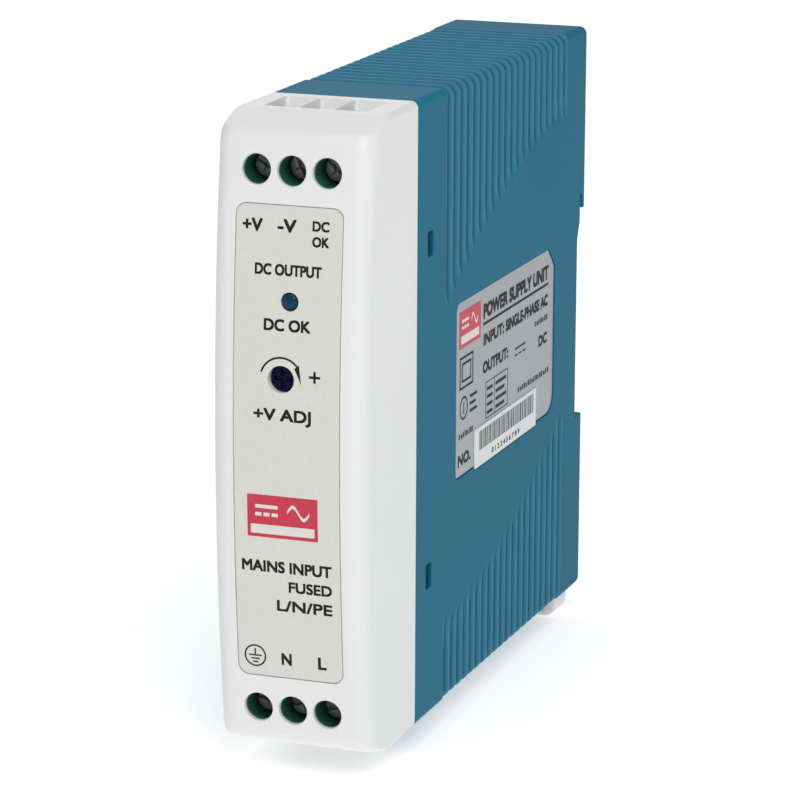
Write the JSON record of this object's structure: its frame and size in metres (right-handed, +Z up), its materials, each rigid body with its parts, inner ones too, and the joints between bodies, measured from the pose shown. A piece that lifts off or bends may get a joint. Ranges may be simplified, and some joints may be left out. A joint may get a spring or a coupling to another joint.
{
  "type": "din rail power supply",
  "caption": "Slim power supply module that hooks onto a 35 mm DIN rail, with screw terminals, a voltage trimmer, an indicator light and a spring latch.",
  "frame": {"origin": "middle of the rail, on the plane where the rail's flanges rest against the back of the case", "axes": "+X to the right seen from the front, +Y from the front of the case towards the rail, +Z up along the height of the case"},
  "size_m": [0.0226, 0.1, 0.094],
  "materials": {
    "housing_blue": "fine moulded texture",
    "cover_white": "fine moulded texture",
    "label_face": "satin printed foil",
    "label_silver": "satin printed foil",
    "sticker_paper": "printed paper",
    "latch_plastic": "milky natural plastic",
    "spring_steel": "bright wire",
    "terminal_green": "moulded",
    "screw_steel": "dark plated",
    "tinned_metal": "tin plated",
    "board_laminate": "solder mask",
    "lamp_lens": "tinted clear",
    "trimmer_blue": "moulded",
    "rotor_navy": "moulded",
    "black_plastic": "moulded",
    "fuse_ceramic": "glazed tube",
    "yellow_film": "moulded",
    "ferrite": "sintered",
    "copper_wire": "enamelled wire",
    "aluminium": "mill finish"
  },
  "bodies": {
    "case": {"rear_housing": "housing_blue", "front_cover": "cover_white", "front_label": "label_face", "rating_label": "label_silver", "barcode_label": "sticker_paper", "latch_spring": "spring_steel", "terminal_block_top": "terminal_green", "terminal_block_bottom": "terminal_green", "heat_sink_screw_1": "screw_steel", "heat_sink_screw_2": "screw_steel", "contact_1": "tinned_metal", "contact_2": "tinned_metal", "contact_3": "tinned_metal", "contact_4": "tinned_metal", "contact_5": "tinned_metal", "contact_6": "tinned_metal", "front_board": "board_laminate", "main_board": "board_laminate", "indicator_led": "lamp_lens", "trimmer_body": "trimmer_blue", "varistor": "trimmer_blue", "y_capacitor": "trimmer_blue", "board_connector": "black_plastic", "thermistor": "black_plastic", "bridge_rectifier": "black_plastic", "bulk_capacitor": "black_plastic", "controller_chip": "black_plastic", "optocoupler": "black_plastic", "switching_transistor": "black_plastic", "output_diode": "black_plastic", "transformer_bobbin": "black_plastic", "output_capacitor_1": "black_plastic", "output_capacitor_2": "black_plastic", "fuse": "fuse_ceramic", "x_capacitor": "yellow_film", "transformer_winding": "yellow_film", "choke_core": "ferrite", "transformer_core": "ferrite", "output_inductor_core": "ferrite", "choke_winding": "copper_wire", "output_inductor_winding": "copper_wire", "switch_heat_sink": "aluminium", "diode_heat_sink": "aluminium"},
    "latch": {"rail_latch": "latch_plastic"},
    "trimmer": {"trimmer_rotor": "rotor_navy"},
    "screw_1": {"terminal_screw_1": "screw_steel"},
    "cage_1": {"clamp_cage_1": "tinned_metal"},
    "screw_2": {"terminal_screw_2": "screw_steel"},
    "cage_2": {"clamp_cage_2": "tinned_metal"},
    "screw_3": {"terminal_screw_3": "screw_steel"},
    "cage_3": {"clamp_cage_3": "tinned_metal"},
    "screw_4": {"terminal_screw_4": "screw_steel"},
    "cage_4": {"clamp_cage_4": "tinned_metal"},
    "screw_5": {"terminal_screw_5": "screw_steel"},
    "cage_5": {"clamp_cage_5": "tinned_metal"},
    "screw_6": {"terminal_screw_6": "screw_steel"},
    "cage_6": {"clamp_cage_6": "tinned_metal"}
  },
  "joints": [
    {"name": "latch_slide", "type": "slide", "parent": "case", "child": "latch", "axis": [0, 0, -1], "range_m": [0, 0.0042], "stiffness_N_per_m": 800, "springref_m": -0.004, "deforming": ["latch_spring"]},
    {"name": "trimmer_turn", "type": "hinge", "parent": "case", "child": "trimmer", "pos_m": [-0.0008, -0.0924, 0.0087], "axis": [0, 1, 0], "range_deg": [-135, 135]},
    {"name": "screw_turn_1", "type": "hinge", "parent": "case", "child": "screw_1", "pos_m": [-0.00508, -0.09, 0.0369], "axis": [0, 1, 0], "range_deg": [0, 2161]},
    {"name": "cage_slide_1", "type": "slide", "parent": "case", "child": "cage_1", "axis": [0, -1, 0], "range_m": [0, 0.003]},
    {"name": "screw_turn_2", "type": "hinge", "parent": "case", "child": "screw_2", "pos_m": [0, -0.09, 0.0369], "axis": [0, 1, 0], "range_deg": [0, 2161]},
    {"name": "cage_slide_2", "type": "slide", "parent": "case", "child": "cage_2", "axis": [0, -1, 0], "range_m": [0, 0.003]},
    {"name": "screw_turn_3", "type": "hinge", "parent": "case", "child": "screw_3", "pos_m": [0.00508, -0.09, 0.0369], "axis": [0, 1, 0], "range_deg": [0, 2161]},
    {"name": "cage_slide_3", "type": "slide", "parent": "case", "child": "cage_3", "axis": [0, -1, 0], "range_m": [0, 0.003]},
    {"name": "screw_turn_4", "type": "hinge", "parent": "case", "child": "screw_4", "pos_m": [-0.00508, -0.09, -0.0387], "axis": [0, 1, 0], "range_deg": [0, 2161]},
    {"name": "cage_slide_4", "type": "slide", "parent": "case", "child": "cage_4", "axis": [0, -1, 0], "range_m": [0, 0.003]},
    {"name": "screw_turn_5", "type": "hinge", "parent": "case", "child": "screw_5", "pos_m": [0, -0.09, -0.0387], "axis": [0, 1, 0], "range_deg": [0, 2161]},
    {"name": "cage_slide_5", "type": "slide", "parent": "case", "child": "cage_5", "axis": [0, -1, 0], "range_m": [0, 0.003]},
    {"name": "screw_turn_6", "type": "hinge", "parent": "case", "child": "screw_6", "pos_m": [0.00508, -0.09, -0.0387], "axis": [0, 1, 0], "range_deg": [0, 2161]},
    {"name": "cage_slide_6", "type": "slide", "parent": "case", "child": "cage_6", "axis": [0, -1, 0], "range_m": [0, 0.003]}
  ],
  "couplings": [
    {"joint": "screw_turn_1", "follows": "cage_slide_1", "rad_per_m": 12566},
    {"joint": "screw_turn_2", "follows": "cage_slide_2", "rad_per_m": 12566},
    {"joint": "screw_turn_3", "follows": "cage_slide_3", "rad_per_m": 12566},
    {"joint": "screw_turn_4", "follows": "cage_slide_4", "rad_per_m": 12566},
    {"joint": "screw_turn_5", "follows": "cage_slide_5", "rad_per_m": 12566},
    {"joint": "screw_turn_6", "follows": "cage_slide_6", "rad_per_m": 12566}
  ]
}
